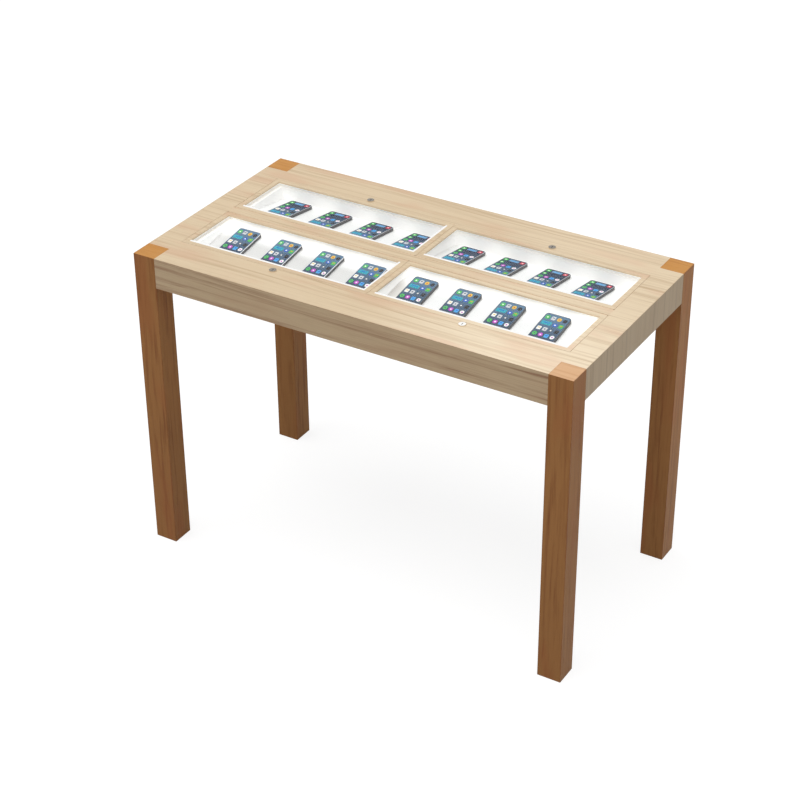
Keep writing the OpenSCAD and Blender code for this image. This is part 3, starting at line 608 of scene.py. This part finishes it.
def deck_coat(name, slope):
    """The deck's satin white: its flat part beside the hinge is painted lighter than its slope and carries a faint
    glow, both painted light. The front right deck is painted darker at its left end: a painted shadow."""
    material, tree, shader, place = new_material(name)
    x, y, _ = split(tree, place["Object"])
    dull_and_painted_shade = calc(tree, "MULTIPLY", in_front_right(tree, x, y), ramp(tree, x, *PAINTED_SHADE_END, start=1.0, end=0.0))
    sloping = ramp(tree, calc(tree, "ABSOLUTE", y), DECK_FLAT_EDGE - FOLD_BLUR, DECK_FLAT_EDGE + FOLD_BLUR)
    colour = blend(tree, sloping, FLAT_TONE, blend(tree, dull_and_painted_shade, slope, DECK_PAINTED_SHADE))
    colour, coated = coated_over(tree, place, colour, handled=0.97, gloss=0.45)
    finish_shader(tree, shader, colour, coated, COAT_RELIEF)
    fill(tree, shader, {"Emission Color": blend(tree, sloping, PURE_WHITE, PURE_BLACK),
                        "Emission Strength": FLAT_GLOW, "Specular IOR Level": WHITE_SHINE})
    return material


def clear_glass(name):
    """Anti-reflective glass: what is behind it shows through, and only a little is mirrored, more at a flat angle."""
    material, tree, shader, place = new_material(name)
    smeared = ramp(tree, noise(tree, place["Object"], **SMEARS), *SMEARS_SHOW, *GLASS_ROUGHNESS)
    fill(tree, shader, {"Base Color": PURE_WHITE, "Metallic": 1.0, "Roughness": smeared})
    see_through = put(tree, "ShaderNodeBsdfTransparent", {"Color": GLASS_TINT})
    mirrored = calc(tree, "MULTIPLY", put(tree, "ShaderNodeFresnel", {"IOR": GLASS_IOR}).outputs[0], MIRRORED_SHARE)
    show(tree, put(tree, "ShaderNodeMixShader", {0: mirrored, 1: see_through.outputs[0], 2: shader.outputs[0]}))
    return material


def screen_glass(name):
    """A dummy handset's face: blue grey at its upper end to navy at its lower end, along its own UV map."""
    material, tree, shader, place = new_material(name)
    up = split(tree, place["UV"])["Y"]
    drift = calc(tree, "MULTIPLY_ADD", noise(tree, place["Object"], **DRIFT), SCREEN_DRIFT, -SCREEN_DRIFT / 2)
    shade = ramp(tree, calc(tree, "ADD", up, drift), *SCREEN_BLEND)
    colour, coated = coated_over(tree, place, blend(tree, shade, SCREEN_LOW, SCREEN_HIGH), handled=0.9, gloss=0.14)
    finish_shader(tree, shader, colour, coated, PRINT_RELIEF)
    fill(tree, shader, {"Specular IOR Level": PRINT_SHINE})
    return material


def tile_paint(name):
    """Printed tiles: each tile's own colour, a little stronger at its upper edge."""
    material, tree, shader, place = new_material(name)
    own = put(tree, "ShaderNodeAttribute", attribute_name="tile_colour").outputs["Color"]
    up = split(tree, place["UV"])["Y"]
    lit = blend(tree, up, own, TILE_TOP_LIGHT, "MULTIPLY")
    colour, coated = coated_over(tree, place, lit, handled=0.94, gloss=0.10)
    finish_shader(tree, shader, colour, coated, PRINT_RELIEF)
    fill(tree, shader, {"Specular IOR Level": PRINT_SHINE})
    return material


# Finishes of the CAD nodes
def dress(node, material):
    """Gives a CAD node its material."""
    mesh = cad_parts[node].data
    mesh.materials.clear()
    mesh.materials.append(material)


def log_place(log, number):
    """Where in the log a board was cut: the log's start, and one step further for each board before it."""
    return tuple(start + step * number for start, step in zip(*log))


def dress_boards():
    """The boards of the top, the side boards and the inner members."""
    for number, side in enumerate(("front", "back", "left", "right", "centre")):
        dress(f"top_board_{side}", wood(f"top_{side}", PALE_WOOD, ALONG_X, log_place(BOARD_LOG, number), TABLE_BOX,
                                        BOARD_REBATE_TOP))
    for number, side in enumerate(("front", "back", "left", "right")):
        tones, turn = (SIDE_WOOD, ALONG_X) if side in ROWS else (END_SIDE_WOOD, ALONG_Z)
        dress(f"apron_{side}", wood(f"apron_{side}", tones, turn, log_place(SIDE_LOG, number), TABLE_BOX))
    for number, node in enumerate(("centre_beam", "cross_bearer_front", "cross_bearer_back", "top_dowels")):
        turn = ALONG_Y if "bearer" in node else ALONG_X
        dress(node, wood(f"inner_{node}", INNER_WOOD, turn, log_place(INNER_LOG, number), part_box(node)))


def dress_lid_frames():
    """The lids' frames, with the lips of their windows."""
    for number, quarter in enumerate(QUARTERS):
        low, high = (np.array(corner)[:2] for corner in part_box(f"lid_frame_{quarter}"))
        window = (((low + high) / 2).tolist(), ((high - low) / 2 - FRAME_INSIDE).tolist())
        dress(f"lid_frame_{quarter}", wood(f"lid_{quarter}", PALE_WOOD, ALONG_X, log_place(LID_LOG, number),
                                           TABLE_BOX, LID_REBATE_TOP, window))


def dress_legs():
    """The legs. The cut end of the front right one is painted lighter: a painted sheen."""
    inner = (TABLE_LENGTH / 2 - LEG_SIDE, TABLE_WIDTH / 2 - LEG_SIDE)
    for number, quarter in enumerate(QUARTERS):
        row, end = quarter.split("_")
        x = sorted((ENDS[end] * inner[0], ENDS[end] * TABLE_LENGTH / 2))
        y = sorted((ROWS[row] * inner[1], ROWS[row] * TABLE_WIDTH / 2))
        box = ((x[0], y[0], 0.0), (x[1], y[1], TABLE_HEIGHT))
        tones = LEG_END_PAINTED_SHEEN if quarter == "front_right" else LEG_END_WOOD
        dress(f"leg_{quarter}", leg_wood(f"leg_{quarter}", tones, log_place(LEG_LOG, number), box,
                                         LEG_PAINTED_LIGHT[quarter]))


def dress_metal_and_panels():
    """Steel, glass, the glazing strips and the wells."""
    plug_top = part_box("lock_plug_front_left")[1][2]
    plate = steel("plate_steel", *PLATE_STEEL)
    hinge = coat("hinge_lacquer", *HINGE_LACQUER, gloss=0.35)
    plug = steel("plug_steel", *PLUG_STEEL, ALONG_Y, corner=PLUG_PAINTED_GLARE, painted_shade_below=plug_top - KEYWAY_SHADE_DEPTH)
    glass = clear_glass("lid_glass")
    strip = coat("white_strip", *STRIP_TONES, gloss=0.25)
    walls = {row: coat(f"well_wall_{row}", *WALL_TONES[row], gloss=0.45, shine=WHITE_SHINE, glow=WALL_GLOW[row])
             for row in ROWS}
    dress("lock_housings", steel("lock_steel", *LOCK_STEEL, corner=FLANGE_PAINTED_GLARE, painted_reflection_from=REFLECTION_PAINT_START))
    dress("lock_nuts", plate)
    for node in ("board_hinges", "hinge_pins"):
        dress(node, hinge)
    for quarter in QUARTERS:
        wall = walls[quarter.split("_")[0]]
        deck = deck_coat(f"well_deck_{quarter}", SLOPE_TONES[quarter])
        for node, material in (("lock_plug", plug), ("lock_cam", plate), ("keeper", plate), ("lid_hinge", hinge),
                               ("lid_glass", glass), ("lid_trim", strip), ("well_walls", wall), ("well_deck", deck)):
            dress(f"{node}_{quarter}", material)


# Handsets
def rounded_outline(half_width, half_length, corner, per_corner=7):
    """Points round a rounded rectangle: at each angle the middle of the corner it belongs to plus the corner's
    radius times the angle's direction, so the straight sides lie between one corner's last point and the next's
    first. Sizes may be arrays, and the points are the last axis but one."""
    quarter = np.linspace(0, math.pi / 2, per_corner)
    angle = (np.arange(4)[:, None] * math.pi / 2 + quarter).ravel()
    turn = np.repeat(np.arange(4), per_corner)
    sign_x = np.array((1, -1, -1, 1))[turn]
    sign_y = np.array((1, 1, -1, -1))[turn]
    half_width, half_length, corner = (np.asarray(v, float)[..., None] for v in (half_width, half_length, corner))
    x = sign_x * (half_width - corner) + corner * np.cos(angle)
    y = sign_y * (half_length - corner) + corner * np.sin(angle)
    return np.stack((x, y), axis=-1)


def stacked(profile, half_width, half_length, corner):
    """A body as rings: at each (inset, height) of the profile the rounded outline drawn in by inset."""
    inset, height = np.array(profile).T
    flat = rounded_outline(half_width - inset, half_length - inset, np.maximum(corner - inset, LEAST_CORNER))
    tall = np.broadcast_to(height[:, None, None], (*flat.shape[:2], 1))
    return np.concatenate((flat, tall), axis=-1)


def arc(centre, radius, start, end, count):
    """(inset, height) points on an arc of the profile, angles in degrees from the inset axis."""
    angle = np.radians(np.linspace(start, end, count))
    return np.stack((centre[0] + radius * np.cos(angle), centre[1] + radius * np.sin(angle)), axis=-1).tolist()


def handset_places():
    """For each handset the turn and the place that take its own x across, y up its length and z out of its face
    to the table's frame, and 1 where its length runs towards +y or -1 where it is mirrored."""
    cos, sin = math.cos(DECK_SLOPE), math.sin(DECK_SLOPE)
    up = ((DECK_OUTER_EDGE - WELL_INNER_EDGE) / 2 - HANDSET_FROM_MIDDLE) / cos
    places = []
    for side in ROWS.values():
        for end, (start, rest) in HANDSET_MARGINS.items():
            left_wall = -WELL_END if end == "left" else WELL_START
            pitch = (WELL_END - WELL_START - start - rest - HANDSET_WIDTH) / (HANDSET_COUNT - 1)
            for number in range(HANDSET_COUNT):
                x = left_wall + start + pitch * number + HANDSET_WIDTH / 2
                inwards = -side
                turn = np.array(((1, 0, 0), (0, inwards * cos, -inwards * sin), (0, sin, cos)))
                origin = np.array((x, side * DECK_OUTER_EDGE, DECK_TOP - DECK_DROP)) + turn @ np.array((0, up, 0))
                places.append((turn, origin, inwards))
    return places


def facing_out(values, hand):
    """A body's ring values. On a mirrored handset its rings run the other way, so that its faces still point
    outwards."""
    return values if hand > 0 else values[..., ::-1, :]


def set_down(rings):
    """Copies of a body's rings, one on each handset's place."""
    return np.stack([facing_out(rings @ turn.T + origin, hand) for turn, origin, hand in handset_places()])


def repeated(uv):
    """Copies of a body's UV map, one for each handset."""
    return np.stack([facing_out(uv, hand) for _, _, hand in handset_places()])


def add_object(name, data):
    """A new object of the scene."""
    made = bpy.data.objects.new(name, data)
    bpy.context.scene.collection.objects.link(made)
    return made


def ringed_piece(name, rings, uv=None, colours=None, looped=False):
    """A mesh of closed bodies. rings has the axes body, ring, point, xyz: quads join each ring to the next, and
    either the last ring to the first, when looped, or a flat face closes each of the two. uv has the same axes,
    and colours one colour for each body."""
    bodies, count, points = rings.shape[:3]
    index = np.arange(bodies * count * points).reshape(bodies, count, points)
    low, high = (index, np.roll(index, -1, 1)) if looped else (index[:, :-1], index[:, 1:])
    faces = np.stack((low, np.roll(low, -1, 2), np.roll(high, -1, 2), high), axis=-1).reshape(-1, 4).tolist()
    if not looped:
        faces += np.concatenate((index[:, 0, ::-1], index[:, -1])).tolist()
    mesh = bpy.data.meshes.new(name)
    mesh.from_pydata(rings.reshape(-1, 3).tolist(), [], faces)
    if uv is not None:
        corner = np.empty(len(mesh.loops), np.int32)
        mesh.loops.foreach_get("vertex_index", corner)
        mesh.uv_layers.new(name="UVMap").data.foreach_set("uv", uv.reshape(-1, 2)[corner].astype(np.float32).ravel())
    if colours is not None:
        layer = mesh.color_attributes.new(name="tile_colour", type="FLOAT_COLOR", domain="POINT")
        each = np.repeat(np.asarray(colours, np.float32), count * points, axis=0)
        layer.data.foreach_set("color", each.ravel())
    mesh.validate()
    return add_object(name, mesh)


def smooth(piece):
    """Smooth shading, with sharp edges kept crisp."""
    with bpy.context.temp_override(object=piece, selected_editable_objects=[piece], active_object=piece):
        bpy.ops.object.shade_smooth_by_angle(angle=SMOOTH_ANGLE)


def finish_piece(piece, material, node):
    """A handset piece: gives it its material, puts it on the table's body and hides the CAD node it stands for."""
    piece.data.materials.append(material)
    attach(piece, "table")
    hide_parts(node)


def handset_cases():
    """Case: a rounded back edge, straight sides, and a shoulder under the polished rim; the face lies in it. Its
    profile of (inset, height) points is carried round the handset's outline."""
    top = HANDSET_THICK - RIM_HEIGHT
    profile = [*arc((BACK_ROUNDING, BACK_ROUNDING), BACK_ROUNDING, 270, 180, 6), (0.0, top - CASE_SHOULDER),
               (CASE_SHOULDER, top), (CASE_MOUTH_INSET, top), (CASE_MOUTH_INSET, HANDSET_THICK - FACE_THICK)]
    piece = ringed_piece("handset_cases", set_down(stacked(profile, *HANDSET_OUTLINE)))
    smooth(piece)
    material = coat("handset_case", *CASE_TONES, gloss=0.35, shine=CASE_SHINE)
    finish_piece(piece, material, "handset_shells")


def handset_rims():
    """Rim: a polished chamfer that runs round the edge of the face. Its profile is a closed loop, carried round
    the handset's outline."""
    top = HANDSET_THICK - RIM_HEIGHT
    profile = [(RIM_FOOT_INSET, top), (RIM_SIDE_INSET, top + CASE_SHOULDER), (RIM_CREST_INSET, HANDSET_THICK),
               (FACE_BORDER, HANDSET_THICK), (FACE_BORDER, top)]
    piece = ringed_piece("handset_rims", set_down(stacked(profile, *HANDSET_OUTLINE)), looped=True)
    smooth(piece)
    finish_piece(piece, rim_metal("handset_rim"), "handset_shells")


def handset_faces():
    """Face: a thin plate with a softly rounded upper edge, inside the rim. Its UV map runs from 0 to 1 across and
    up the face."""
    low = HANDSET_THICK - FACE_THICK + FACE_LIFT
    high = HANDSET_THICK - FACE_ROUNDING
    profile = [(0.0, low), *arc((FACE_ROUNDING, high), FACE_ROUNDING, 180, 90, 4)]
    half = np.array((HANDSET_WIDTH, HANDSET_LENGTH)) / 2 - FACE_BORDER - FACE_PLAY
    rings = stacked(profile, *half, HANDSET_CORNER - FACE_BORDER)
    uv = rings[..., :2] / (2 * half) + 0.5
    piece = ringed_piece("handset_screens", set_down(rings), repeated(uv))
    smooth(piece)
    finish_piece(piece, screen_glass("handset_screen"), "handset_faces")


GREEN, TEAL, BLUE, SKY = paint(66, 186, 80), paint(30, 160, 178), paint(24, 92, 190), paint(66, 160, 224)
WHITE, SILVER, SLATE, BLACK = paint(238, 238, 234), paint(202, 204, 208), paint(70, 88, 108), paint(22, 24, 30)
SOOT, MIST = paint(42, 46, 54), paint(98, 146, 186)
MAGENTA, RED, ORANGE, YELLOW = paint(198, 66, 196), paint(206, 44, 66), paint(222, 128, 44), paint(226, 186, 60)

# Each row of the made-up layout, from the upper end: width in cells, shape, colour, mark, mark's colour
TILE_ROWS = (
    ((1, "square", GREEN, "dot", WHITE), (1, "square", SILVER, "bar", SLATE), (1, "round", YELLOW, "dot", RED),
     (1, "round", BLACK, "dot", SOOT)),
    ((2, "wide", TEAL, "bar", BLUE), (1, "round", BLUE, "dot", WHITE), (1, "square", GREEN, "bar", ORANGE)),
    ((1, "square", WHITE, "bar", YELLOW), (1, "square", SILVER, "dot", SLATE), (1, "round", SLATE, "dot", WHITE),
     (1, "square", BLACK, "bar", SOOT)),
    ((1, "round", GREEN, "dot", SLATE), (1, "round", MAGENTA, "dot", WHITE), (1, "square", SKY, "bar", BLUE),
     (1, "round", WHITE, "dot", MAGENTA)),
    ((1, "round", GREEN, "dot", WHITE),),
    ((1, "square", GREEN, "dot", WHITE), (2, "wide", MIST, "bar", SKY), (1, "square", RED, "dot", WHITE)),
)


def printed_plates(name, plates, base, rise, material):
    """Thin raised plates on the faces, from rows of half width, half length, corner, x, y and colour: for each
    plate and handset one outline at the base and the same at the top, closed by flat faces."""
    sizes, centres, colours = plates[:, :3], plates[:, 3:5], plates[:, 5:]
    flat = rounded_outline(*sizes.T, per_corner=5) + centres[:, None]
    rings = np.stack([np.concatenate((flat, np.full((*flat.shape[:2], 1), height)), axis=-1)
                      for height in (base, base + rise)], axis=1)
    uv = (rings[..., :2] - centres[:, None, None]) / (2 * sizes[:, None, None, :2]) + 0.5
    piece = ringed_piece(name, set_down(rings).reshape(-1, *rings.shape[1:]),
                         repeated(uv).reshape(-1, *uv.shape[1:]), np.tile(colours, (len(handset_places()), 1)))
    finish_piece(piece, material, "handset_faces")


def handset_tiles():
    """Tiles of a made-up layout, and on each tile a plain dot or bar."""
    tiles, marks = [], []
    for down, row in enumerate(TILE_ROWS):
        column = 0
        y = (len(TILE_ROWS) / 2 - 0.5 - down) * CELL_LENGTH - LAYOUT_SHIFT
        for width, shape, colour, mark, mark_colour in row:
            x = (column + width / 2 - COLUMNS / 2) * CELL_WIDTH
            half = TILE_HALF + (width - 1) * CELL_WIDTH / 2
            tiles.append((half, TILE_HALF_LENGTH, TILE_HALF * TILE_CORNER[shape], x, y, *colour))
            if mark == "bar":
                wide, thin, up = half * BAR_HALF_WIDTH, TILE_HALF * BAR_HALF_LENGTH, TILE_HALF * BAR_FROM_MIDDLE
            else:
                wide, thin, up = TILE_HALF * DOT_HALF, TILE_HALF * DOT_HALF, 0.0
            marks.append((wide, thin, thin * MARK_CORNER, x, y + up, *mark_colour))
            column += width
    material = tile_paint("tile_print")
    printed_plates("handset_tiles", np.array(tiles), HANDSET_THICK, TILE_RISE, material)
    printed_plates("handset_marks", np.array(marks), HANDSET_THICK + TILE_RISE / 2, MARK_RISE, material)


# Studio
def seen_directly(tree):
    """1 for what the camera sees, also in mirrors and through glass, and 0 for what only lights the object."""
    rays = put(tree, "ShaderNodeLightPath").outputs
    return calc(tree, "MAXIMUM", rays["Is Camera Ray"],
                calc(tree, "MAXIMUM", rays["Is Glossy Ray"], rays["Is Transmission Ray"]))


def white_floor():
    """A floor that looks white and keeps a soft shadow, and can't be seen from below."""
    mesh = bpy.data.meshes.new("floor")
    corners = [(x * FLOOR_HALF, y * FLOOR_HALF, FLOOR_LEVEL) for x, y in ((-1, -1), (1, -1), (1, 1), (-1, 1))]
    mesh.from_pydata(corners, [], [(0, 1, 2, 3)])
    floor = add_object("floor", mesh)
    material, tree, shader, _ = new_material("floor")
    fill(tree, shader, {"Base Color": FLOOR_GREY, "Roughness": 1.0, "Specular IOR Level": 0.0})
    strength = calc(tree, "MULTIPLY", seen_directly(tree), FLOOR_SEEN)
    glow = put(tree, "ShaderNodeEmission", {"Color": PURE_WHITE, "Strength": strength})
    both = put(tree, "ShaderNodeAddShader", {0: shader.outputs[0], 1: glow.outputs[0]})
    under = put(tree, "ShaderNodeNewGeometry").outputs["Backfacing"]
    clear = put(tree, "ShaderNodeBsdfTransparent")
    show(tree, put(tree, "ShaderNodeMixShader", {0: under, 1: both.outputs[0], 2: clear.outputs[0]}))
    mesh.materials.append(material)


def studio():
    """White floor, soft light from above and a little from the left, and a white world for the camera, for
    mirrors and through glass."""
    white_floor()
    world = bpy.data.worlds.new("studio")
    world.use_nodes = True
    bpy.context.scene.world = world
    tree = world.node_tree
    strength = ramp(tree, seen_directly(tree), 0.0, 1.0, start=WORLD_LIGHT)
    fill(tree, tree.nodes["Background"], {"Color": PURE_WHITE, "Strength": strength})
    sun = bpy.data.lights.new("softbox", "SUN")
    sun.energy, sun.angle = SUN_POWER, SUN_SPREAD
    lamp = add_object("softbox", sun)
    lamp.rotation_euler = Vector(SUN_TOWARDS).to_track_quat("-Z", "Y").to_euler()
    bpy.context.scene.view_settings.view_transform = "Standard"


def camera():
    """The photograph's view: the eye, the direction and the roll that a pinhole fit gives."""
    data = bpy.data.cameras.new("camera")
    data.sensor_width = SENSOR
    data.lens = FOCAL_PIXELS * SENSOR / IMAGE_PIXELS
    data.clip_start, data.clip_end = CLIP_START, CLIP_END
    eye = add_object("camera", data)
    azimuth, elevation = math.radians(AZIMUTH), math.radians(ELEVATION)
    ahead = Vector((-math.sin(azimuth) * math.cos(elevation), math.cos(azimuth) * math.cos(elevation),
                    -math.sin(elevation)))
    level = ahead.to_track_quat("-Z", "Y").to_matrix()
    roll = Matrix.Rotation(math.radians(ROLL), 3, "Z")
    eye.matrix_world = Matrix.Translation(EYE) @ (level @ roll).to_4x4()
    bpy.context.scene.camera = eye


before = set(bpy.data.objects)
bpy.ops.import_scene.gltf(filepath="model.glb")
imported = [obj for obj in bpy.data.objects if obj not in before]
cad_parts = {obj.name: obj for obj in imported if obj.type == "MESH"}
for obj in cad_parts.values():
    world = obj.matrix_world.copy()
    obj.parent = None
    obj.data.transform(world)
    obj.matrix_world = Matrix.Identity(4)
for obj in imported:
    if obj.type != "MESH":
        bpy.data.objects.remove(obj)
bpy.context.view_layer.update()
camera()
studio()
dress_boards()
dress_lid_frames()
dress_legs()
dress_metal_and_panels()
handset_cases()
handset_rims()
handset_faces()
handset_tiles()
